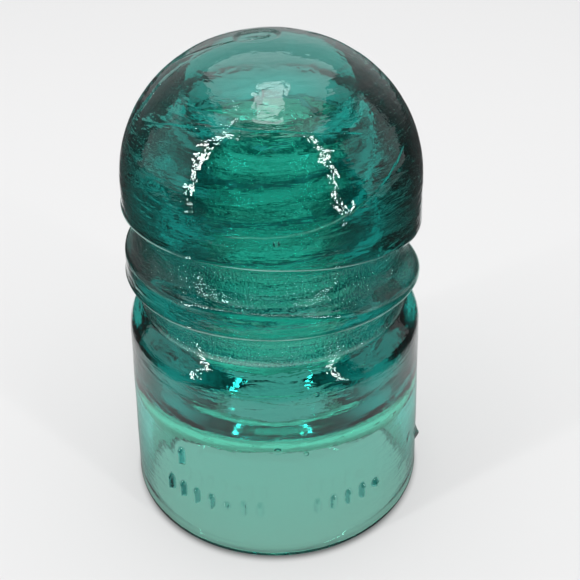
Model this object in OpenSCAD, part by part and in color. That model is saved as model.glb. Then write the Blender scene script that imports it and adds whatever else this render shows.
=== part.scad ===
// Pin-type glass insulator with a spiral wire groove.
// One block of pressed glass: a tapered skirt, a rounded crown, one groove that winds down
// round the neck, and a threaded pin hole that opens into the hollow of the skirt.
// Millimetres, +Z up. The origin is the centre of the circle that the rim stands on.
// The side that faces -Y is the front, and angles round the axis start there and grow towards +X.

/* [Body] */
// Diameter that the sides taper down to at the foot
base_d = 63.4; // [60:0.1:68]
// Diameter at the equator of the crown
crown_d = 56.2; // [52:0.1:58]
// Height of the equator of the crown
equator_z = 69; // [67:0.5:74]
// Overall height
height = 96; // [92:0.5:104]
// Squareness of the crown, where 2 is an ellipse
crown_power = 2.09; // [1.9:0.01:2.4]
// Radius of the rounding round the outside of the foot
foot_round = 1.9; // [0.8:0.1:3]

/* [Wire groove] */
// Radius of the round bottom of the groove
groove_r = 4.3; // [3:0.1:4.4]
// How far the middle of that radius lies outside the glass
groove_out = 0.4; // [0:0.1:1.5]
// Height of the groove's middle at the front, on its first turn
groove_front_z = 61.7; // [61.2:0.1:62]
// Fall over each half turn up to the front
left_fall = 1.5; // [1:0.1:2]
// Fall over each half turn from the front on, round the right side and the back
right_fall = 9.3; // [8.8:0.1:9.8]
// Height of the groove's middle where it runs level, on its second turn
groove_low_z = 48.1; // [47.8:0.1:48.6]
// Angle at which the groove starts, behind the left side
groove_start = -152; // [-160:1:-120]
// Angle at which the groove ends, past the right side on its second turn
groove_end = 484; // [470:1:488]

/* [Hollow of the skirt] */
// Diameter of the hollow at the rim
hollow_d = 55; // [50:0.5:56]
// Diameter of the hollow below the ledge
ledge_d = 49; // [44:0.5:50]
// Height of the ledge
ledge_z = 26.5; // [22:0.5:32]
// Radius of the rounding between the wall and the ledge
ledge_round = 5; // [2:0.5:7]

/* [Pin hole] */
// Diameter of the smooth mouth of the pin hole
mouth_d = 28.6; // [27:0.2:32]
// Length of the smooth mouth
mouth_len = 6; // [3:0.5:9]
// Diameter of the hole at the crests of its thread
crest_d = 23.6; // [22:0.1:24.4]
// Height of the end of the hole's straight wall
hole_top_z = 78.5; // [66:0.5:80]
// Rise of the thread in each turn: four turns to the inch
pitch = 6.35; // [6:0.05:7]
// Depth of the thread
thread_depth = 1.4; // [0.8:0.1:1.6]

/* [Mould marks] */
// Height of the raised marks above the skirt
mark_h = 0.8; // [0.3:0.1:0.9]
// Height of the middle of the row of marks
mark_z = 13.5; // [10:0.5:18]
// Diameter of the shallow round mark on the crown
crown_mark_d = 7.6; // [5:0.2:9]

/* [Hidden] */
$fn = 96;
base_r = base_d / 2;
crown_r = crown_d / 2;
crown_h = height - equator_z;
side_slope = (base_r - crown_r) / equator_z;
rim_in_round = 1.5;       // rounding at the inside of the rim
hole_end_round = 4.5;     // rounding at the blind end of the pin hole
thread_down = 0.9;        // how far below the mouth's top the thread starts
crown_steps = 30;         // edges in the crown's outline
arc_steps = 8;            // edges in each small rounding
ring_step = 6;            // degrees between rings of the groove's cutter
groove_sides = 18;        // sides of the groove's cutter
run_in = 46;              // degrees over which the groove deepens at its start
run_out = 38;             // degrees over which it dies out at its end
run_lift = 4.3;           // how far the cutter moves out over the run-in and the run-out
blend_z = 0.3;            // how softly one slope of the groove turns into the next
thread_step = 12;         // degrees between rings of the thread's cutter
thread_flat = 1.1;        // half width of the thread's groove near its bottom
thread_open = 2.8;        // half width of the thread's cutter where it starts
thread_in = 0.8;          // how far inside the crests the cutter starts
mark_w = 1.3;             // width of a bar
mark_long = 2.4;          // length of a bar between the middles of its round ends
pip_d = 1.7;              // diameter of a pip
crown_mark_deep = 0.5;    // depth of the round mark on the crown
crown_mark_x = -2;        // how far the round mark is off the axis
glass_teal = [0.05, 0.52, 0.47];

// Radius of the tapered sides at height z
function side_r(z) = base_r - side_slope * z;

// Points of a circular arc
function arc(cx, cz, r, a0, a1) =
    [for (i = [0:arc_steps]) let (a = a0 + (a1 - a0) * i / arc_steps) [cx + r * cos(a), cz + r * sin(a)]];

// Lower and higher of two values, with a soft turn between them
function soft_high(a, b) = (a + b) / 2 + sqrt(pow((a - b) / 2, 2) + blend_z * blend_z);
function soft_low(a, b) = (a + b) / 2 - sqrt(pow((a - b) / 2, 2) + blend_z * blend_z);

// Height of the groove's middle: nearly level up to the front, then a steady fall, then level
function gentle_z(a) = groove_front_z - left_fall * a / 180;
function steep_z(a) = groove_front_z - right_fall * a / 180;
function groove_z(a) = soft_high(soft_low(gentle_z(a), steep_z(a)), groove_low_z);

// How far the cutter has moved out at angle a, 0 along the full-depth stretch
function ease(t) = t <= 0 ? 0 : t >= 1 ? 1 : t * t * (3 - 2 * t);
function lift(a) =
    run_lift * max(ease(1 - (a - groove_start) / run_in), ease(1 - (groove_end - a) / run_out));

// A point at angle a round the axis, radius r and height z
function turn(a, r, z) = [r * sin(a), -r * cos(a), z];

// Closed tube through rings of the same number of points
module tube(rings) {
    n = len(rings[0]);
    m = len(rings);
    points = [for (ring = rings) for (p = ring) p];
    walls = [
        for (j = [0:m - 2]) for (i = [0:n - 1]) for (half = [0, 1])
        let (a = j * n + i, b = j * n + (i + 1) % n)
        half == 0 ? [a, b, b + n] : [a, b + n, a + n]
    ];
    ends = [[for (i = [n - 1:-1:0]) i], [for (i = [0:n - 1]) (m - 1) * n + i]];
    polyhedron(points, concat(walls, ends), convexity = 12);
}

// Outline of the solid block, from the axis at the foot to the axis at the top
module block_outline() {
    crown = [
        for (i = [0:crown_steps - 1]) let (a = 90 * i / crown_steps)
        [crown_r * pow(cos(a), 2 / crown_power), equator_z + crown_h * pow(sin(a), 2 / crown_power)]
    ];
    polygon(concat(
        [[0, 0]],
        arc(side_r(0) - foot_round - 0.1, foot_round, foot_round, -90, 0),
        crown,
        [[0, height]]
    ));
}

// Outline of the hollow: tapered wall, rounded ledge, smooth mouth and blind hole
module hollow_outline() {
    rim_r = hollow_d / 2;
    mouth_r = mouth_d / 2;
    crest_r = crest_d / 2;
    mouth_top = ledge_z + mouth_len;
    wall_r = ledge_d / 2;
    polygon(concat(
        [[0, -1], [rim_r + rim_in_round, -1]],
        arc(rim_r + rim_in_round, rim_in_round, rim_in_round, 270, 180),
        arc(wall_r - ledge_round, ledge_z - ledge_round, ledge_round, 0, 90),
        [[mouth_r + 0.8, ledge_z], [mouth_r, ledge_z + 0.8], [mouth_r, mouth_top]],
        [[crest_r, mouth_top + 1.6], [crest_r, hole_top_z]],
        arc(crest_r - hole_end_round, hole_top_z, hole_end_round, 0, 90),
        [[0, hole_top_z + hole_end_round]]
    ));
}

// Cutter of the wire groove: a round section carried down the spiral
module groove_cutter() {
    tube([
        for (a = [groove_start:ring_step:groove_end])
        let (z0 = groove_z(a), r0 = side_r(z0) + groove_out + lift(a))
        [for (i = [0:groove_sides - 1]) let (t = 360 * i / groove_sides)
            turn(a, r0 + groove_r * cos(t), z0 + groove_r * sin(t))]
    ]);
}

// Cutter of the pin thread: a rounded wedge carried up a helix
module thread_cutter() {
    crest_r = crest_d / 2;
    z0 = ledge_z + mouth_len - thread_down;
    turns = (hole_top_z - z0 - thread_open - 1) / pitch;
    tube([
        for (a = [0:thread_step:360 * turns])
        let (z = z0 + pitch * a / 360, deep = thread_depth * ease((360 * turns - a) / 90) + 0.05)
        [
            turn(a, crest_r - thread_in, z - thread_open),
            turn(a, crest_r + deep * 0.75, z - thread_flat),
            turn(a, crest_r + deep, z),
            turn(a, crest_r + deep * 0.75, z + thread_flat),
            turn(a, crest_r - thread_in, z + thread_open)
        ]
    ]);
}

// One raised mark: an upright bar with round ends, or a round pip where long is 0
module mark(a, z, wide, long) {
    sink = 1;
    rotate([0, 0, a])
        translate([0, sink - side_r(z), z])
            rotate([90, 0, 0])
                linear_extrude(sink + mark_h)
                    union() {
                        translate([0, long / 2]) circle(d = wide, $fn = 24);
                        translate([0, -long / 2]) circle(d = wide, $fn = 24);
                        if (long > 0) square([wide, long], center = true);
                    }
}

// An upright bar, and a round pip
module bar(a, z) { mark(a, z, mark_w, mark_long); }
module pip(a, z) { mark(a, z, pip_d, 0); }

// Two groups of plain bars and pips on the front of the skirt, a bar above them, and a row of
// pips that runs from the right side round the back
module marks() {
    for (i = [0:3]) bar(-44 + 6.2 * i, mark_z);
    pip(-19.2, mark_z);
    for (i = [0:1]) bar(-13 + 6.2 * i, mark_z);
    for (i = [0:3]) bar(14 + 6.2 * i, mark_z);
    pip(38.8, mark_z);
    bar(-38, mark_z + 8.5);
    for (i = [0:9]) pip(77 + 16 * i, mark_z - 3);
}

module glass_body() {
    color(glass_teal)
        difference() {
            union() {
                rotate_extrude($fn = 96) block_outline();
                marks();
            }
            rotate_extrude($fn = 96) hollow_outline();
            thread_cutter();
            groove_cutter();
            translate([crown_mark_x, 0, height - crown_mark_deep])
                cylinder(d1 = crown_mark_d - 1, d2 = crown_mark_d + 3, h = 2, $fn = 48);
        }
}

glass_body();
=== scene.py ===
"""Looks of a pin-type glass line insulator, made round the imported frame.

The glass body is one closed surface: the outside from the top of the crown down to the rim, then the
inside from the rim up to the blind end of the pin hole. Lengths are in metres and angles in radians,
+Z is up, and angles round the axis start at -Y and grow towards +X.
"""
import math

import bpy
import numpy as np
from bpy.props import FloatProperty, FloatVectorProperty, IntProperty, PointerProperty
from mathutils import Matrix, Vector


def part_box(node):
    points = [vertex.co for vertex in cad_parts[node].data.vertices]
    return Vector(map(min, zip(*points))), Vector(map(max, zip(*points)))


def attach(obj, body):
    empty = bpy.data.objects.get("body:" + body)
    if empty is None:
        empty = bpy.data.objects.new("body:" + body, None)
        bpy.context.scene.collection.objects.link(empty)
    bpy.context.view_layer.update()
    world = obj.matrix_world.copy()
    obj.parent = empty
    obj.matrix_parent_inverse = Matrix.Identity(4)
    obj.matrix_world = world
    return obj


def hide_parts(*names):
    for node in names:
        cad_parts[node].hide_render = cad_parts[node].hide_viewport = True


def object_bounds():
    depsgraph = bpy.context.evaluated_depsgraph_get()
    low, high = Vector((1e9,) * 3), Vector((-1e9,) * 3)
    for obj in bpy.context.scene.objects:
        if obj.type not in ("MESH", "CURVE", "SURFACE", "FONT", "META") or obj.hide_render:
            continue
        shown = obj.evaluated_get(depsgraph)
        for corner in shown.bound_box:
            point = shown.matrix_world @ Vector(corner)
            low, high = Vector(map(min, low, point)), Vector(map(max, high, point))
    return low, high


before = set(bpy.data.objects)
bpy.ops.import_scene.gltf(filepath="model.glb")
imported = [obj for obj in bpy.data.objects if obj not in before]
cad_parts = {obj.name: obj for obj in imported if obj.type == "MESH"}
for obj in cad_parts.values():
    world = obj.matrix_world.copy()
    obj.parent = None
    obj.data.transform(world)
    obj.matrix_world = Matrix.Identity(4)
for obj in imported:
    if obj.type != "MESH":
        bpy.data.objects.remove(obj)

bl_info = {
    "name": "Glass Line Insulator",
    "version": (1, 0, 0),
    "blender": (4, 5, 0),
    "location": "3D View > Sidebar > Insulator",
    "description": "Makes a pressed-glass insulator with a spiral wire groove, and its stage",
    "category": "Object",
}

CAD_LOW, CAD_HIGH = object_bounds()
CAD_LOW, CAD_HIGH = list(CAD_LOW), list(CAD_HIGH)
NODE_LOW, NODE_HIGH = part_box("glass_body")
HEIGHT = NODE_HIGH[2] - NODE_LOW[2]
MM = 0.001
TAU = 2 * math.pi

# Folds in the skin of the crown. Each lies on a tilted plane: its slope along X and along Y and its
# height at the axis in mm, then the stretch of angles that the fold runs over, in degrees.
FOLDS = (
    (-0.06, -0.32, 80.0, -68, 42),
    (0.08, 0.46, 84.5, -18, 62),
    (0.23, -0.83, 95.2, -100, -20),
    (1.6, -3.3, 101.0, -82, -66),
)

# Small bubbles just under the skin: angle in degrees, height in mm and radius in mm
BUBBLES = (
    (0, 28.2, 0.9), (10, 27.1, 0.6), (1, 70.6, 0.6), (-42, 58.3, 0.5), (14, 40.3, 0.6),
)

# Heights of the waviness in the skin: slow and quick outside, and fine inside
SLOW_WAVE = 0.05 * MM
QUICK_WAVE = 0.008 * MM
FINE_WAVE = 0.004 * MM

# Each pass of the groove: the full turns to its angle, and how far the pale line along its lower lip
# lies below the sharp corner that the lip would have
PASSES = ((0, 0.9 * MM), (TAU, -1.5 * MM))
# How far the chill grain reaches below the middle of the second pass, and the width it fades over
GRAIN_REACH, GRAIN_FADE = 3.3 * MM, 0.6 * MM
# How strong the grain and the fine lines are in the pin hole, as a depth of groove
HOLE_GRAIN = 0.8 * MM

# How high each pattern stands in the skin, in units of the glass's ripple height
FINE_BUMP, BROAD_BUMP, BAND_BUMP, CROSS_BUMP = 0.75, 0.3, 2.9, 1.0
FOLD_BUMP, BUBBLE_BUMP = 4.5, 5.0
# The same for the groove's pits and lines, for each metre of the groove's depth
PIT_BUMP, LINE_BUMP = 330.0, 900.0

# Name, place, what it faces, width and height, power in watts, and whether it shows through the glass
MIDDLE = (0, 0, 0.05)
LAMPS = (
    ("overhead", (0.0, -0.02, 1.05), MIDDLE, (0.26, 0.42), 1.7, True),
    ("left_strip", (-0.73, -0.42, 0.6), MIDDLE, (0.034, 1.35), 5.0, True),
    ("right_strip", (0.62, -0.58, 0.55), MIDDLE, (0.03, 1.2), 3.8, True),
    ("ceiling", (0.0, 0.4, 1.3), (0.0, 0.4, 0.0), (1.6, 1.6), 10.5, False),
    ("left_wall", (-1.2, 0.0, 0.5), MIDDLE, (1.2, 1.0), 2.2, False),
    ("right_wall", (1.2, 0.0, 0.5), MIDDLE, (1.2, 1.0), 2.2, False),
)


def length(name, description, default, **more):
    """A property that holds a length in metres."""
    return FloatProperty(name=name, description=description, default=default, unit="LENGTH",
                         subtype="DISTANCE", precision=5, **more)


def angle(name, description, degrees):
    """A property that holds an angle, given in degrees and kept in radians."""
    return FloatProperty(name=name, description=description, default=math.radians(degrees),
                         unit="ROTATION", subtype="ANGLE")


def number(name, description, default, **more):
    """A property that holds a plain number."""
    return FloatProperty(name=name, description=description, default=default, precision=4, **more)


def colour(name, description, default):
    """A property that holds a colour."""
    return FloatVectorProperty(name=name, description=description, default=default, size=3,
                               subtype="COLOR", min=0.0, max=1.0)


class InsulatorBody(bpy.types.PropertyGroup):
    """Sizes of the solid block of glass, before the groove and the hollow are taken out of it."""

    base_r: length("Base radius", "Radius that the sides taper down to at the foot", 31.68 * MM)
    crown_r: length("Crown radius", "Radius at the equator of the crown", 28.1 * MM)
    equator_z: length("Equator height", "Height of the equator of the crown", 69 * MM)
    crown_power: number("Crown squareness", "Squareness of the crown, where 2 is an ellipse", 2.09)
    foot_round: length("Foot rounding", "Radius of the rounding round the foot", 1.9 * MM)
    mark_h: length("Mark height", "How far the raised marks stand proud", 0.8 * MM)
    mark_z: length("Mark row", "Height of the middle of the row of marks", 13.5 * MM)
    crown_mark_r: length("Crown mark", "Radius of the shallow round mark on the crown", 3.8 * MM)
    columns: IntProperty(name="Columns", description="Faces round the body", default=268)


class InsulatorGroove(bpy.types.PropertyGroup):
    """The spiral wire groove."""

    groove_r: length("Groove radius", "Radius of the groove's round bottom", 4.3 * MM)
    groove_out: length("Groove middle", "How far the middle of that radius is outside the glass",
                       0.4 * MM)
    front_z: length("Front height", "Height of the groove at the front, on its first turn", 61.7 * MM)
    left_fall: length("Left fall", "Fall over each half turn up to the front", 1.5 * MM)
    right_fall: length("Right fall", "Fall over each half turn from the front on", 9.3 * MM)
    low_z: length("Low height", "Height where the groove runs level", 48.1 * MM)
    start: angle("Start", "Angle at which the groove starts", -152)
    end: angle("End", "Angle at which the groove ends", 484)
    upper_lip: length("Upper lip", "Width of the rounding along the groove's upper lip", 0.4 * MM)
    lower_lip: length("Lower lip", "Width of the rounding along the first pass's lower lip, which "
                      "grows to four times that on the second", 1.1 * MM)
    bead_h: length("Bead height", "Height of the mould's fine bead along the upper lips", 0.2 * MM)
    bead_w: length("Bead width", "Half width of that bead", 0.2 * MM)


class InsulatorHollow(bpy.types.PropertyGroup):
    """The hollow of the skirt and the threaded pin hole."""

    rim_r: length("Rim radius", "Radius of the hollow at the rim", 27.5 * MM)
    rim_round: length("Rim rounding", "Radius of the rounding inside the rim", 1.5 * MM)
    wall_r: length("Wall radius", "Radius of the hollow below the ledge", 24.5 * MM)
    ledge_z: length("Ledge height", "Height of the ledge", 26.5 * MM)
    ledge_round: length("Ledge rounding", "Rounding between the wall and the ledge", 5 * MM)
    mouth_r: length("Mouth radius", "Radius of the smooth mouth of the pin hole", 14.3 * MM)
    mouth_len: length("Mouth length", "Length of the smooth mouth", 6 * MM)
    crest_r: length("Thread crest radius", "Radius at the crests of the thread", 11.8 * MM)
    top_z: length("Hole height", "Height of the end of the hole's straight wall", 78.5 * MM)
    end_h: length("Hole end", "Height of the domed end of the hole", 4.5 * MM)
    pitch: length("Thread pitch", "Rise of the thread in each turn", 6.35 * MM)
    depth: length("Thread depth", "Depth of the thread", 1.4 * MM)


class InsulatorGlass(bpy.types.PropertyGroup):
    """The glass itself."""

    ior: number("Index of refraction", "How strongly the glass bends light", 1.52)
    tint: colour("Tint", "Colour that deep glass keeps", (0.03, 0.77, 0.775))
    skin_tint: colour("Skin tint", "Colour that light takes on at each crossing of the skin",
                      (0.66, 1.0, 0.83))
    density: number("Tint density", "How fast the tint deepens, per metre of glass", 106.0)
    roughness: number("Roughness", "Roughness of the polished surface", 0.012)
    ripple: length("Ripple height", "Height of the fine chill ripples in the surface", 0.06 * MM)


class InsulatorStage(bpy.types.PropertyGroup):
    """The floor, the lights and the camera."""

    floor_tint: colour("Floor", "Colour of the floor", (0.27, 0.27, 0.27))
    floor_glow: number("Floor glow", "Light that the floor gives off by itself", 0.4)
    runner_half: length("Paper half width", "Half width of the pale paper under the object", 72 * MM)
    runner_front: length("Paper front", "Where the paper ends in front of the object", -105 * MM)
    # runner_back sets where painted shade darkens the paper behind the object, as the glass sees it.
    runner_back: length("Paper back", "Where the paper dims behind the object", 170 * MM)
    # contact_r places the painted contact-shadow ring on the floor.
    contact_r: length("Contact radius", "Radius of the ring where the rim stands on the paper",
                      29.3 * MM)
    camera_back: length("Camera distance", "How far the camera stands in front of the axis", 137.8 * MM)
    camera_up: length("Camera height", "Height of the camera above the floor", 132.6 * MM)
    camera_pitch: angle("Camera pitch", "How far the camera looks down", 32.71)
    camera_yaw: angle("Camera yaw", "How far the camera is turned to the right", 1.33)
    camera_roll: angle("Camera roll", "How far the camera is tipped about its own axis", -0.55)
    camera_lens: number("Lens", "Focal length on a sensor 36 mm wide, in millimetres", 49.66)


# ---------------------------------------------------------------- surfaces


def ease(t):
    """A smooth step from 0 to 1 as t goes from 0 to 1: 3t^2 - 2t^3."""
    t = np.clip(t, 0.0, 1.0)
    return t * t * (3 - 2 * t)


def round_high(a, b, width):
    """The higher of two distances, with the corner where they cross rounded over a width."""
    blend = np.maximum(width - np.abs(a - b), 0) / width
    return np.maximum(a, b) + blend * blend * width / 4


def waves(points, wavelength, seed, stretch=(1, 1, 1), count=22):
    """Smooth noise of about unit size: the sum of plane waves in seeded directions."""
    rng = np.random.default_rng(seed)
    way = rng.normal(size=(count, 3))
    way /= np.linalg.norm(way, axis=1)[:, None]
    way *= np.array(stretch) * (TAU / wavelength * rng.uniform(0.7, 1.5, count))[:, None]
    phase = rng.uniform(0, TAU, count)
    total = sum(np.sin(points @ w + p) for w, p in zip(way, phase))
    return total / math.sqrt(count / 2)


def arc(centre_r, centre_z, radius, start, stop, count):
    """Points of a circular arc in the plane of radius and height, between two angles in degrees."""
    a = np.radians(np.linspace(start, stop, count))
    return np.stack([centre_r + radius * np.cos(a), centre_z + radius * np.sin(a)], axis=1)


def line(start, stop, count):
    """Points of a straight line, without its last point."""
    return np.linspace(start, stop, count + 1)[:-1]


def side_radius(body, z):
    """Radius of the tapered side: a straight line from the foot's radius to the crown's."""
    return body.base_r - (body.base_r - body.crown_r) * z / body.equator_z


# Heights where the rows of points of the side change their spacing. The third to the sixth are the
# lips of the groove's two passes, where the rows are shifted to follow them.
SIDE_LEVELS = np.array([69, 67, 65.9, 57.4, 52.4, 43.8, 41, 24.5, 8, 3]) * MM


def spacings(levels, counts):
    """For each pair of levels, rows spaced evenly, and rows bunched at both ends by a cosine."""
    even, bunched = [], []
    for a, b, count in zip(levels[:-1], levels[1:], counts):
        t = np.arange(count) / count
        even.append(a + (b - a) * t)
        bunched.append(a + (b - a) * (1 - np.cos(math.pi * t)) / 2)
    return even, bunched


def follow_groove(groove, z, a):
    """Shifts the rows between the lips' levels so that they run along the lips.

    Each height is carried in a straight line between the levels above and below it, and the levels
    follow the two passes of the groove round the front, easing back to their own height behind.
    """
    turn = (a + math.pi) % TAU - math.pi
    near = ease((math.radians(165) - np.abs(turn)) / math.radians(40))
    wanted = []
    for shift, high, low in ((0, 2, 3), (TAU, 4, 5)):
        t = np.clip(turn + shift, groove.start, groove.end)
        out = groove.groove_out + groove_lift(groove, t)
        half = np.sqrt(np.maximum(groove.groove_r ** 2 - out ** 2, (2 * MM) ** 2))
        wanted += [groove_height(groove, t) + half, groove_height(groove, t) - half]
    fixed = SIDE_LEVELS
    moved = [fixed[0] + 0 * turn, fixed[1] + 0 * turn]
    moved += [fixed[k + 2] + near * (wanted[k] - fixed[k + 2]) for k in range(4)]
    moved += [fixed[k] + 0 * turn for k in range(6, len(fixed))]
    total = moved[-1]
    for k in range(len(fixed) - 1):
        part = np.clip((z - fixed[k + 1]) / (fixed[k] - fixed[k + 1]), 0, 1)
        total = total + part * (moved[k] - moved[k + 1])
    return np.where((z < fixed[0]) & (z > fixed[-1]), total, z)


def outer_outline(body, height):
    """Outline of the outside, from beside the axis at the top down to the flat of the rim.

    The crown is a superellipse, r = R cos(t)^(2/n) and z = Z + H sin(t)^(2/n). Below its equator
    the side is a straight taper, and the foot a quarter circle.
    """
    n = body.crown_power
    t = np.radians(np.concatenate([[89.6], np.linspace(89, 76, 22), np.linspace(74.5, 1.2, 36)]))
    crown_h = height - body.equator_z
    crown = np.stack([body.crown_r * np.cos(t) ** (2 / n),
                      body.equator_z + crown_h * np.sin(t) ** (2 / n)], axis=1)
    counts = [3, 9, 30, 16, 30, 8, 14, 36, 5]
    side_z = [even if c < 16 or c == 36 else bunched
              for c, even, bunched in zip(counts, *spacings(SIDE_LEVELS, counts))]
    side_z = np.concatenate(side_z)
    side = np.stack([side_radius(body, side_z), side_z], axis=1)
    f = body.foot_round
    foot = arc(side_radius(body, 0) - f - 0.1 * MM, f, f, 0, -88, 9)
    return np.concatenate([crown, side, foot])


def inner_outline(body, hollow):
    """Outline of the inside, from the flat of the rim up to beside the axis at the hole's end.

    The wall leans in as it rises, turns through a quarter circle to the flat ledge, and the ledge
    ends at the mouth of the pin hole, whose far end is domed.
    """
    h = hollow
    mouth_top = h.ledge_z + h.mouth_len
    dome = np.radians(np.linspace(4, 87, 16))
    end = np.stack([h.crest_r * np.cos(dome) ** 0.8, h.top_z + h.end_h * np.sin(dome) ** 0.8], axis=1)
    parts = [
        arc(h.rim_r + h.rim_round, h.rim_round, h.rim_round, 270, 185, 8),
        line((h.rim_r, h.rim_round + 0.4 * MM), (h.wall_r, h.ledge_z - h.ledge_round), 14),
        arc(h.wall_r - h.ledge_round, h.ledge_z - h.ledge_round, h.ledge_round, 0, 86, 10),
        line((h.wall_r - h.ledge_round - 0.7 * MM, h.ledge_z), (h.mouth_r + 1.2 * MM, h.ledge_z), 6),
        arc(h.mouth_r + 1.2 * MM, h.ledge_z + 1.2 * MM, 1.2 * MM, 270, 185, 4),
        line((h.mouth_r, h.ledge_z + 1.6 * MM), (h.mouth_r, mouth_top), 4),
        line((h.mouth_r, mouth_top), (h.crest_r, mouth_top + 1.6 * MM), 4),
        line((h.crest_r, mouth_top + 1.6 * MM), (h.crest_r, h.top_z), 84),
        end,
    ]
    return np.concatenate(parts)


def groove_height(groove, a):
    """Height of the groove's middle at angle a: nearly level, then a steady fall, then level."""
    soft = 0.3 * MM
    gentle = groove.front_z - groove.left_fall * a / math.pi
    steep = groove.front_z - groove.right_fall * a / math.pi
    half = (gentle - steep) / 2
    low = (gentle + steep) / 2 - np.sqrt(half * half + soft * soft)
    half = (low - groove.low_z) / 2
    return (low + groove.low_z) / 2 + np.sqrt(half * half + soft * soft)


def groove_lift(groove, a):
    """How far the groove's middle moves out of the glass as the groove starts and dies out."""
    run_in, run_out, lift = math.radians(46), math.radians(38), 4.3 * MM
    rise = np.maximum(ease(1 - (a - groove.start) / run_in), ease(1 - (groove.end - a) / run_out))
    return lift * rise + np.where((a < groove.start) | (a > groove.end), 20 * MM, 0.0)


def cut_groove(body, groove, r, z, a):
    """The radius once the groove is cut.

    A point is in the glass where it is inside the tapered side and outside the groove's round
    section on each turn. The radius where the two meet, with their corner rounded, is found by
    halving the interval 22 times for all points at once.
    """
    side = side_radius(body, z)
    inner, outer = r - 7 * MM, r + 1 * MM
    turns = [a + TAU * k for k in (-1, 0, 1)]
    middles = [(groove_height(groove, t), groove_lift(groove, t)) for t in turns]
    for _ in range(22):
        mid = (inner + outer) / 2
        field = mid - r
        for mid_z, out in middles:
            centre_r = side + groove.groove_out + out
            away = np.hypot(mid - centre_r, z - mid_z)
            fallen = np.clip((groove.front_z - mid_z) / (groove.front_z - groove.low_z), 0, 1)
            lip = np.where(z > mid_z, groove.upper_lip, groove.lower_lip * (1 + 3 * fallen))
            field = round_high(field, groove.groove_r - away, lip)
        inner = np.where(field < 0, mid, inner)
        outer = np.where(field < 0, outer, mid)
    return (inner + outer) / 2


def lip_lines(groove, z, a):
    """Two bell curves of height, exp(-(distance / width)^2), along the upper and the lower lips."""
    turn = (a + math.pi) % TAU - math.pi
    upper, lower = np.zeros_like(z), np.zeros_like(z)
    for shift, drop in PASSES:
        t = turn + shift
        out = groove.groove_out + groove_lift(groove, t)
        half = np.sqrt(np.maximum(groove.groove_r ** 2 - out ** 2, 0))
        there = ease(half / (2 * MM) - 0.5)
        above = z - groove_height(groove, t) - half - groove.bead_w * 0.9
        upper += np.exp(-(above / groove.bead_w) ** 2) * there
        below = z - groove_height(groove, t) + half + drop
        lower += np.exp(-(below / (groove.bead_w * 1.5)) ** 2) * there
    return upper, lower


def cut_thread(hollow, r, z, a):
    """The radius once the thread is cut: a raised cosine across each turn of a right-hand helix."""
    h = hollow
    start = h.ledge_z + h.mouth_len - 0.9 * MM
    stop = h.top_z - 0.8 * MM
    phase = (z - start) / h.pitch - a / TAU
    across = (0.5 - np.abs(phase - np.round(phase))) * h.pitch
    shape = 1 - 0.5 * (1 + np.cos(math.pi * np.clip((across - 0.3 * MM) / (1.3 * MM), 0, 1)))
    rise = ease((z - start) / (2 * MM)) * ease((stop - z) / (2 * MM))
    return np.maximum(r, h.crest_r + h.depth * shape * rise)


def marks(body, a, z):
    """Height of the raised marks: groups of upright bars and round pips, each a rounded capsule."""
    bars = [(-44 + 6.2 * i, 0) for i in range(4)] + [(-13 + 6.2 * i, 0) for i in range(2)]
    bars += [(14 + 6.2 * i, 0) for i in range(4)] + [(-38, 8.5)]
    pips = [(-19.2, 0), (38.8, 0)] + [(77 + 16 * i, -3) for i in range(10)]
    rows = [(*bar, 1.2, 0.65) for bar in bars] + [(*pip, 0.0, 0.85) for pip in pips]
    raised = np.zeros_like(z)
    for degrees, up, half_long, radius in rows:
        turn = (a - math.radians(degrees) + math.pi) % TAU - math.pi
        across = turn * side_radius(body, z)
        along = np.maximum(np.abs(z - body.mark_z - up * MM) - half_long * MM, 0)
        edge = radius * MM - np.hypot(across, along)
        raised = np.maximum(raised, ease(edge / (0.45 * MM) + 0.4))
    return raised * body.mark_h


def column_angles(count):
    """Angles of the columns of points, closer together across the front and the back.

    They are where a running total of the wanted density reaches equal steps.
    """
    a = np.linspace(0, TAU, 3601)
    front = np.abs((a + math.pi) % TAU - math.pi) < math.radians(52)
    back = np.abs(a - math.pi) < math.radians(60)
    density = 1 + 1.8 * front + 0.4 * back
    total = np.concatenate([[0], np.cumsum((density[1:] + density[:-1]) / 2)])
    return np.interp(np.arange(count) / count * total[-1], total, a)


def crown_relief(body, grid):
    """How far the crown's skin lies below its smooth shape: a round mark, and a step at each fold.

    The mark is a shallow dish. A fold lies where a tilted plane meets the skin,
    and the skin beside it is sunk, easing back over a few millimetres.
    """
    x, y, z = grid[..., 0], grid[..., 1], grid[..., 2]
    away = np.hypot(x + 2 * MM, y) - body.crown_mark_r
    near_top = z > HEIGHT - 4 * MM
    sunk = np.where(near_top, ease(0.5 - away / (0.8 * MM)) * 0.42 * MM, 0.0)
    around = np.degrees(np.arctan2(x, -y))
    for slope_x, slope_y, middle, start, stop in FOLDS:
        steep = math.sqrt(1 + slope_x ** 2 + slope_y ** 2)
        off = (z - x * slope_x - y * slope_y - middle * MM) / steep
        off = off + waves(grid.reshape(-1, 3), 14 * MM, 12).reshape(z.shape) * 0.35 * MM
        lap = ease(off / (0.7 * MM) + 0.5) - ease(off / (5 * MM))
        run = ease((around - start) / 9) * ease((stop - around) / 9)
        sunk = sunk + np.maximum(lap, 0) * run * 0.22 * MM
    return sunk


def grid_normals(grid):
    """Unit normals of a grid of points that closes round its second axis."""
    down = np.gradient(grid, axis=0)
    across = np.roll(grid, -1, axis=1) - np.roll(grid, 1, axis=1)
    n = np.cross(down, across)
    n /= np.maximum(np.linalg.norm(n, axis=2), 1e-12)[..., None]
    return n


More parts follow.
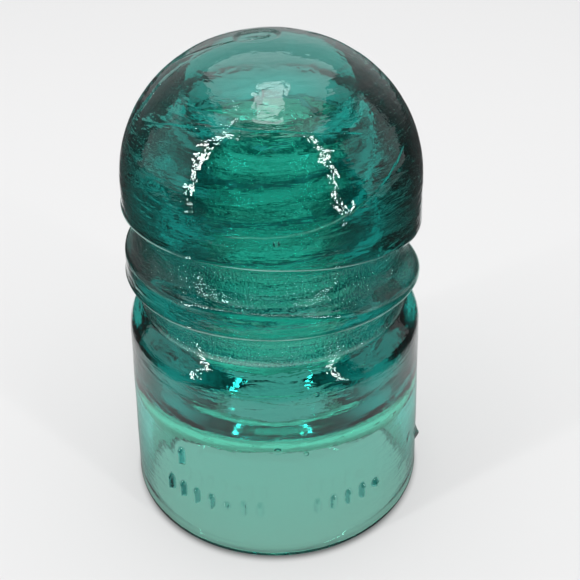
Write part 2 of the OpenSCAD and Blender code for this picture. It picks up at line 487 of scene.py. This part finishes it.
def closed_mesh(name, grid, poles):
    """A closed mesh from rings of points and a point at each end, with its faces outwards."""
    rows, columns = grid.shape[:2]
    points = np.concatenate([grid.reshape(-1, 3), poles])
    i, j = np.meshgrid(np.arange(rows - 1), np.arange(columns), indexing="ij")
    k = (j + 1) % columns
    quads = np.stack([i * columns + j, i * columns + k, (i + 1) * columns + k,
                      (i + 1) * columns + j], axis=-1).reshape(-1, 4)
    ring = np.arange(columns)
    after = (ring + 1) % columns
    first, last = rows * columns, rows * columns + 1
    base = (rows - 1) * columns
    cap_a = np.stack([np.full(columns, first), after, ring], axis=-1)
    cap_b = np.stack([np.full(columns, last), base + ring, base + after], axis=-1)
    a, b, c, d = (points[quads[:, n]] for n in range(4))
    volume = sum(np.einsum("ij,ij->i", a, np.cross(p, q)).sum() for p, q in ((b, c), (c, d)))
    if volume < 0:
        quads, cap_a, cap_b = quads[:, ::-1], cap_a[:, ::-1], cap_b[:, ::-1]
    return make_mesh(name, points, [quads, cap_a, cap_b])


def make_mesh(name, points, faces):
    """A smooth-shaded mesh from an array of points and arrays of faces of equal size."""
    mesh = bpy.data.meshes.new(name)
    corners = np.concatenate([f.reshape(-1) for f in faces]).astype(np.int32)
    sizes = np.concatenate([np.full(len(f), f.shape[1]) for f in faces]).astype(np.int32)
    starts = np.concatenate([[0], np.cumsum(sizes)[:-1]]).astype(np.int32)
    mesh.vertices.add(len(points))
    mesh.vertices.foreach_set("co", points.astype(np.float32).reshape(-1))
    mesh.loops.add(len(corners))
    mesh.loops.foreach_set("vertex_index", corners)
    mesh.polygons.add(len(sizes))
    mesh.polygons.foreach_set("loop_start", starts)
    mesh.polygons.foreach_set("use_smooth", np.ones(len(sizes), dtype=bool))
    mesh.update(calc_edges=True)
    mesh.validate()
    return mesh


def add_object(name, mesh, material):
    """An object at the origin that shows a mesh with one material."""
    mesh.materials.append(material)
    piece = bpy.data.objects.new(name, mesh)
    bpy.context.scene.collection.objects.link(piece)
    return piece


def body_grid(scene):
    """The grid of the glass body's points, the points at its two ends, and its values at each point.

    The outline is turned round the axis, the groove, the thread, the marks and the bead move its
    points in or out, and then each point is pushed along the skin's normal by waves and folds. The
    values say how deep the groove is, how rippled the skin is and where the lips are made pale.
    """
    body, groove, hollow = scene.insulator_body, scene.insulator_groove, scene.insulator_hollow
    outside = outer_outline(body, HEIGHT)
    inside = inner_outline(body, hollow)
    outline = np.concatenate([outside, inside])
    a = column_angles(body.columns)
    r = np.repeat(outline[:, :1], body.columns, axis=1)
    z = np.repeat(outline[:, 1:], body.columns, axis=1)
    a = np.repeat(a[None, :], len(outline), axis=0)
    out = slice(0, len(outside))
    ins = slice(len(outside), None)
    crown = z[out] > body.equator_z
    z[out] = follow_groove(groove, z[out], a[out])
    lower = (z[out] <= body.equator_z) & (z[out] > body.foot_round + MM)
    r[out] = np.where(lower, side_radius(body, z[out]), r[out])
    cut = np.where(crown, r[out], cut_groove(body, groove, r[out], z[out], a[out]))
    depth = np.zeros_like(r)
    second_z = groove_height(groove, (a[out] + math.pi) % TAU - math.pi + TAU)
    grained = ease((z[out] - second_z + GRAIN_REACH) / GRAIN_FADE)
    depth[out] = (r[out] - cut) * grained
    upper, lower = lip_lines(groove, z[out], a[out])
    r[out] = cut + marks(body, a[out], z[out]) + upper * ~crown * groove.bead_h
    worn = np.zeros_like(r)
    worn[out] = (upper + 0.5 * lower) * ~crown
    in_hole = ease((z[ins] - hollow.ledge_z - hollow.mouth_len) / (2 * MM))
    depth[ins] = HOLE_GRAIN * in_hole * ease((hollow.top_z - z[ins]) / (2 * MM))
    r[ins] = cut_thread(hollow, r[ins], z[ins], a[ins])
    grid = np.stack([r * np.sin(a), -r * np.cos(a), z], axis=-1)
    normals = grid_normals(grid)
    flat = grid.reshape(-1, 3)
    slow = waves(flat, 26 * MM, 3).reshape(r.shape)
    quick = waves(flat, 7 * MM, 5, (1, 1, 1.8)).reshape(r.shape)
    rough = waves(flat, 3.2 * MM, 8).reshape(r.shape)
    push = np.zeros_like(r)
    push[out] = -SLOW_WAVE * np.abs(slow[out]) - QUICK_WAVE * (1 + quick[out])
    push[out] -= crown_relief(body, grid[out])
    push[ins] = SLOW_WAVE * slow[ins] + FINE_WAVE * rough[ins]
    hold = ease((z - 1 * MM) / (2 * MM))
    side_row = 60
    if normals[side_row, 0] @ (grid[side_row, 0] - np.array(MIDDLE)) < 0:
        normals = -normals
    grid = grid + normals * (push * hold)[..., None]
    ripple = np.full_like(r, 0.25)
    ripple[out] = 0.35 + 0.65 * ease((z[out] - 30 * MM) / (14 * MM))
    poles = np.array([[0, 0, HEIGHT - 0.02 * MM], [0, 0, hollow.top_z + hollow.end_h]])
    return grid, poles, {"groove_depth": depth, "ripple": ripple, "worn": worn}


# ---------------------------------------------------------------- materials


class Wire:
    """A socket of a node tree that takes part in Python expressions."""

    def __init__(self, tree, socket=None):
        self.tree, self.socket = tree, socket

    def node(self, kind, settings=None, inputs=None, out=0):
        """Adds a node, sets it up, and wires or sets its inputs. Returns the wire of one output."""
        node = self.tree.nodes.new(kind)
        for key, value in (settings or {}).items():
            if key == "stops":
                ramp = node.color_ramp.elements
                while len(ramp) < len(value):
                    ramp.new(0.5)
                for stop, (place, shade) in zip(ramp, value):
                    stop.position, stop.color = place, shade
            else:
                setattr(node, key, value)
        for key, value in (inputs or {}).items():
            if isinstance(value, Wire):
                self.tree.links.new(value.socket, node.inputs[key])
            else:
                node.inputs[key].default_value = value
        return Wire(self.tree, node.outputs[out] if len(node.outputs) else None)

    def maths(self, operation, *values):
        """A Math node on the values given."""
        return self.node("ShaderNodeMath", {"operation": operation}, dict(enumerate(values)))

    def __add__(self, other):
        return self.maths("ADD", self, other)

    __radd__ = __add__

    def __mul__(self, other):
        return self.maths("MULTIPLY", self, other)

    __rmul__ = __mul__

    def __sub__(self, other):
        return self.maths("SUBTRACT", self, other)

    def __rsub__(self, other):
        return self.maths("SUBTRACT", other, self)


def new_material(name):
    """An empty node material and the wire to start its nodes from."""
    material = bpy.data.materials.new(name)
    material.use_nodes = True
    material.node_tree.nodes.clear()
    return material, Wire(material.node_tree)


def folds(w, place, warp):
    """Laps in the skin of the crown, where the cooling glass folded: steps along tilted planes."""
    x, y, z = (w.node("ShaderNodeSeparateXYZ", {}, {"Vector": place}, out=axis) for axis in "XYZ")
    around = w.node("ShaderNodeMath", {"operation": "ARCTAN2"}, {0: x, 1: y * -1.0})
    total = 0.0
    for slope_x, slope_y, middle, start, stop in FOLDS:
        steep = math.sqrt(1 + slope_x ** 2 + slope_y ** 2)
        off = (z - x * slope_x - y * slope_y - middle * MM) * (1 / steep) + (warp - 0.5) * (1.6 * MM)
        lap = smooth_range(w, off, -0.16 * MM, 0.16 * MM) - smooth_range(w, off, -0.1 * MM, 3 * MM)
        inside = smooth_range(w, around, math.radians(start), math.radians(start + 9))
        before = smooth_range(w, around, math.radians(stop - 9), math.radians(stop))
        total = lap * inside * (1.0 - before) + total
    return total


def bubbles(w, place):
    """Dimples where small bubbles lie just under the skin."""
    total = 0.0
    for degrees, z, radius in BUBBLES:
        a, r = math.radians(degrees), side_radius(bpy.context.scene.insulator_body, z * MM)
        centre = (r * math.sin(a), -r * math.cos(a), z * MM)
        away = w.node("ShaderNodeVectorMath", {"operation": "DISTANCE"}, {0: place, 1: centre},
                      out="Value")
        total = (1.0 - smooth_range(w, away, radius * 0.4 * MM, radius * MM)) * BUBBLE_BUMP + total
    return total


def smooth_range(w, value, low, high):
    """A smooth step from 0 to 1 as a value goes from low to high."""
    return w.node("ShaderNodeMapRange", {"interpolation_type": "SMOOTHSTEP"},
                  {"Value": value, "From Min": low, "From Max": high})


def glass_material(glass):
    """Teal pressed glass: clear, deeply tinted by its thickness, with chill marks on its skin.

    The skin has ripples that fade down the skirt, pits and level lines in the groove, folds and
    bubbles. Patches of a pale, rough surface lie along the lips of the groove.
    """
    material, w = new_material("teal_glass")
    place = w.node("ShaderNodeTexCoord", out="Object")
    squash = w.node("ShaderNodeMapping", {}, {"Vector": place, "Scale": (1.0, 1.0, 6.0)})
    fine = w.node("ShaderNodeTexNoise", {}, {"Vector": place, "Scale": 900.0, "Detail": 1.0})
    broad = w.node("ShaderNodeTexNoise", {}, {"Vector": place, "Scale": 90.0, "Detail": 2.0})
    bands = w.node("ShaderNodeTexNoise", {}, {
        "Vector": squash, "Scale": 130.0, "Detail": 3.0, "Distortion": 0.4})
    grain = w.node("ShaderNodeTexNoise", {}, {"Vector": place, "Scale": 2300.0, "Detail": 1.0})
    pits = smooth_range(w, grain, 0.42, 0.6)
    flat = w.node("ShaderNodeMapping", {}, {"Vector": place, "Scale": (1.0, 1.0, 22.0)})
    lines = w.node("ShaderNodeTexNoise", {}, {"Vector": flat, "Scale": 90.0, "Detail": 1.0})
    groove = w.node("ShaderNodeAttribute", {"attribute_name": "groove_depth"}, out="Fac")
    ripple = w.node("ShaderNodeAttribute", {"attribute_name": "ripple"}, out="Fac")
    slant = w.node("ShaderNodeMapping", {"vector_type": "TEXTURE"}, {
        "Vector": place, "Rotation": (0.0, math.radians(38), 0.0), "Scale": (3.0, 3.0, 1.0)})
    cross = w.node("ShaderNodeTexNoise", {}, {"Vector": slant, "Scale": 620.0, "Detail": 1.0})
    skin = fine * FINE_BUMP + broad * BROAD_BUMP + bands * BAND_BUMP + cross * CROSS_BUMP
    groove_skin = (pits * PIT_BUMP + lines * LINE_BUMP) * groove
    height = skin * ripple + groove_skin + folds(w, place, broad) * FOLD_BUMP - bubbles(w, place)
    bump = w.node("ShaderNodeBump", {}, {"Height": height, "Strength": 1.0, "Distance": glass.ripple})
    speck = w.node("ShaderNodeTexNoise", {}, {"Vector": place, "Scale": 45.0, "Detail": 4.0})
    rough = speck * 0.03 + glass.roughness
    surface = w.node("ShaderNodeBsdfPrincipled", {}, {
        "Base Color": (*glass.skin_tint, 1), "Transmission Weight": 1.0, "IOR": glass.ior,
        "Roughness": rough, "Normal": bump})
    depth = w.node("ShaderNodeVolumeAbsorption", {}, {
        "Color": (*glass.tint, 1), "Density": glass.density})
    worn = w.node("ShaderNodeAttribute", {"attribute_name": "worn"}, out="Fac")
    # Pale, rough patches along the groove's lips, where the lip lines and a noise agree.
    pale_lip_mix = smooth_range(w, speck + worn * 0.25, 0.5, 0.75) * worn * 0.45
    pale_lip_surface = w.node("ShaderNodeBsdfPrincipled", {}, {
        "Base Color": (0.62, 0.86, 0.8, 1), "Roughness": 0.4})
    both = w.node("ShaderNodeMixShader", {}, {0: pale_lip_mix, 1: surface, 2: pale_lip_surface})
    w.node("ShaderNodeOutputMaterial", {}, {"Surface": both, "Volume": depth})
    return material


def floor_material(stage):
    """Pale paper with a faint mottle, and a little glow so that shadows on it stay pale.

    As the glass sees it, the paper is a runner that ends beside and in front of the object, with a
    dark room past it, and painted shade darkens it behind the object. A painted shadow lies round the
    foot, and a painted contact shadow, a dark ring, lies where the rim stands. Only the ring is there
    for the camera.
    """
    # The second width is how far the painted shadow round the foot reaches.
    blur, foot_shadow_width = 0.03, 0.05
    material, w = new_material("floor")
    place = w.node("ShaderNodeTexCoord", out="Object")
    mottle = w.node("ShaderNodeTexNoise", {}, {"Vector": place, "Scale": 30.0, "Detail": 3.0})
    x, y = (w.node("ShaderNodeSeparateXYZ", {}, {"Vector": place}, out=axis) for axis in "XY")
    side = smooth_range(w, w.maths("ABSOLUTE", x), stage.runner_half + blur, stage.runner_half)
    ahead = smooth_range(w, y, stage.runner_front - blur, stage.runner_front + blur)
    # Painted shade: past runner_back the paper is darker for rays that are not camera rays.
    behind = smooth_range(w, y, stage.runner_back + blur, stage.runner_back - blur)
    seen = w.node("ShaderNodeLightPath", out="Is Camera Ray")
    on_paper = w.maths("MAXIMUM", side * ahead * (behind * 0.4 + 0.6), seen)
    middle = w.node("ShaderNodeVectorMath", {"operation": "LENGTH"}, {0: place}, out="Value")
    from_rim = w.maths("ABSOLUTE", middle - stage.contact_r)
    # Painted contact shadow: a dark ring where the rim stands, seen by every ray.
    ring = smooth_range(w, from_rim, 3.4 * MM, 0.8 * MM)
    outside = smooth_range(w, middle, stage.contact_r, stage.contact_r + 2 * MM)
    # Painted shadow round the foot, fading outwards, seen only by rays that are not camera rays.
    foot_shadow = smooth_range(w, middle, stage.contact_r + foot_shadow_width, stage.contact_r) * outside
    # What the painted shadows leave of the paper's colour and glow; they darken both alike.
    unshadowed_share = 1.0 - ring * 0.8 - foot_shadow * 0.65 * (1.0 - seen)
    pale = w.node("ShaderNodeCombineColor", {}, {0: unshadowed_share, 1: unshadowed_share, 2: unshadowed_share})
    tint = [unshadowed_share * part for part in stage.floor_tint]
    shade = w.node("ShaderNodeCombineColor", {}, dict(enumerate(tint)))
    paper = w.node("ShaderNodeBsdfPrincipled", {}, {
        "Base Color": shade, "Roughness": mottle * 0.1 + 0.75,
        "Emission Color": pale, "Emission Strength": stage.floor_glow})
    room = w.node("ShaderNodeBsdfPrincipled", {}, {
        "Base Color": (0.03, 0.03, 0.03, 1), "Roughness": 0.9})
    both = w.node("ShaderNodeMixShader", {}, {0: on_paper, 1: room, 2: paper})
    w.node("ShaderNodeOutputMaterial", {}, {"Surface": both})
    return material


# ---------------------------------------------------------------- operators


class INSULATOR_OT_glass_body(bpy.types.Operator):
    """Makes the one block of pressed glass"""

    bl_idname = "insulator.glass_body"
    bl_label = "Glass body"

    def execute(self, context):
        scene = context.scene
        grid, poles, values = body_grid(scene)
        mesh = closed_mesh("glass_body_surface", grid, poles)
        for name, value in values.items():
            ends = [value[0, 0], value[-1, 0]]
            flat = np.concatenate([value.reshape(-1), ends]).astype(np.float32)
            mesh.attributes.new(name, "FLOAT", "POINT").data.foreach_set("value", flat)
        piece = add_object("glass_body_surface", mesh, glass_material(scene.insulator_glass))
        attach(piece, "root")
        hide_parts("glass_body")
        return {"FINISHED"}


class INSULATOR_OT_stage(bpy.types.Operator):
    """Makes the floor, the lights and the camera"""

    bl_idname = "insulator.stage"
    bl_label = "Stage"

    def execute(self, context):
        scene = context.scene
        stage = scene.insulator_stage
        lay_floor(stage)
        set_lights(scene)
        set_camera(scene, stage)
        return {"FINISHED"}


def lay_floor(stage):
    """A flat square floor, 6 m across, as a grid of points at the height of the rim."""
    x, y = np.meshgrid(np.linspace(-3, 3, 25), np.linspace(-3, 3, 25), indexing="ij")
    points = np.stack([x, y, np.full_like(x, CAD_LOW[2])], axis=-1).reshape(-1, 3)
    i, j = np.meshgrid(np.arange(24), np.arange(24), indexing="ij")
    corner = i * 25 + j
    quads = np.stack([corner, corner + 25, corner + 26, corner + 1], axis=-1).reshape(-1, 4)
    floor = add_object("floor", make_mesh("floor", points, [quads]), floor_material(stage))


def add_lamp(name, place, aim, size, power, through_glass):
    """A rectangular soft light that faces a point."""
    lamp = bpy.data.lights.new(name, "AREA")
    lamp.shape, lamp.size, lamp.size_y = "RECTANGLE", *size
    lamp.energy = power
    holder = bpy.data.objects.new(name, lamp)
    holder.location = place
    holder.rotation_mode = "QUATERNION"
    holder.rotation_quaternion = (Vector(aim) - Vector(place)).to_track_quat("-Z", "Y")
    holder.visible_transmission = through_glass
    bpy.context.scene.collection.objects.link(holder)


def set_lights(scene):
    """The lamps, the room round the object, and how far light is followed through the glass.

    The camera and the paper see a pale room. The glass sees one that is dark in front and below and
    brightens upwards and to the back.
    """
    for lamp in LAMPS:
        add_lamp(*lamp)
    world = bpy.data.worlds.new("room")
    world.use_nodes = True
    tree = world.node_tree
    tree.nodes.clear()
    w = Wire(tree)
    way = w.node("ShaderNodeTexCoord", out="Generated")
    back = w.node("ShaderNodeSeparateXYZ", {}, {"Vector": way}, out="Y")
    up = w.node("ShaderNodeSeparateXYZ", {}, {"Vector": way}, out="Z")
    stops = [
        (0.45, (0.02, 0.02, 0.02, 1)),
        (0.7, (0.12, 0.12, 0.12, 1)),
        (0.95, (0.75, 0.75, 0.76, 1)),
    ]
    shade = w.node("ShaderNodeValToRGB", {"stops": stops}, {"Fac": back * 0.45 + up * 0.35 + 0.4})
    light = w.node("ShaderNodeBackground", {}, {"Color": shade, "Strength": 1.0})
    seen = w.node("ShaderNodeBackground", {}, {"Color": (0.82, 0.82, 0.83, 1), "Strength": 1.0})
    camera = w.node("ShaderNodeLightPath", out="Is Camera Ray")
    diffuse = w.node("ShaderNodeLightPath", out="Is Diffuse Ray")
    pale_room = w.maths("MAXIMUM", camera, diffuse)
    both = w.node("ShaderNodeMixShader", {}, {0: pale_room, 1: light, 2: seen})
    w.node("ShaderNodeOutputWorld", {}, {"Surface": both})
    scene.world = world
    scene.view_settings.view_transform = "Standard"
    scene.cycles.use_denoising = True
    scene.cycles.max_bounces = 28
    scene.cycles.transmission_bounces = 28
    scene.cycles.glossy_bounces = 16
    scene.cycles.diffuse_bounces = 4


def set_camera(scene, stage):
    """A camera in front of the object, looking down on it, set by its pitch, yaw and roll."""
    p, y, r = stage.camera_pitch, stage.camera_yaw, stage.camera_roll
    ahead = Vector((math.sin(y) * math.cos(p), math.cos(y) * math.cos(p), -math.sin(p)))
    level = Vector((math.cos(y), -math.sin(y), 0))
    over = level.cross(ahead)
    right = math.cos(r) * level + math.sin(r) * over
    up = math.cos(r) * over - math.sin(r) * level
    data = bpy.data.cameras.new("camera")
    data.sensor_width = 36
    data.lens = stage.camera_lens
    data.clip_start, data.clip_end = 0.01, 20
    camera = bpy.data.objects.new("camera", data)
    turn = Matrix((right, up, -ahead)).transposed()
    camera.matrix_world = Matrix.Translation((0, -stage.camera_back, stage.camera_up)) @ turn.to_4x4()
    scene.collection.objects.link(camera)
    scene.camera = camera


# ---------------------------------------------------------------- panel and run

GROUPS = {
    "insulator_body": InsulatorBody,
    "insulator_groove": InsulatorGroove,
    "insulator_hollow": InsulatorHollow,
    "insulator_glass": InsulatorGlass,
    "insulator_stage": InsulatorStage,
}


class INSULATOR_PT_sidebar(bpy.types.Panel):
    """Lists the insulator's sizes and the buttons that make it"""

    bl_label = "Glass insulator"
    bl_idname = "INSULATOR_PT_sidebar"
    bl_space_type = "VIEW_3D"
    bl_region_type = "UI"
    bl_category = "Insulator"

    def draw(self, context):
        for name, group in GROUPS.items():
            box = self.layout.box()
            for key in group.__annotations__:
                box.prop(getattr(context.scene, name), key)
        for operator in (INSULATOR_OT_glass_body, INSULATOR_OT_stage):
            self.layout.operator(operator.bl_idname)


CLASSES = (*GROUPS.values(), INSULATOR_OT_glass_body, INSULATOR_OT_stage, INSULATOR_PT_sidebar)


def register():
    """Registers the classes and hangs the property groups on the scene."""
    for cls in CLASSES:
        bpy.utils.register_class(cls)
    for name, group in GROUPS.items():
        setattr(bpy.types.Scene, name, PointerProperty(type=group))


def unregister():
    """Undoes register."""
    for name in GROUPS:
        delattr(bpy.types.Scene, name)
    for cls in reversed(CLASSES):
        bpy.utils.unregister_class(cls)


def main():
    """Makes everything."""
    register()
    bpy.ops.insulator.glass_body()
    bpy.ops.insulator.stage()


if __name__ == "__main__":
    main()
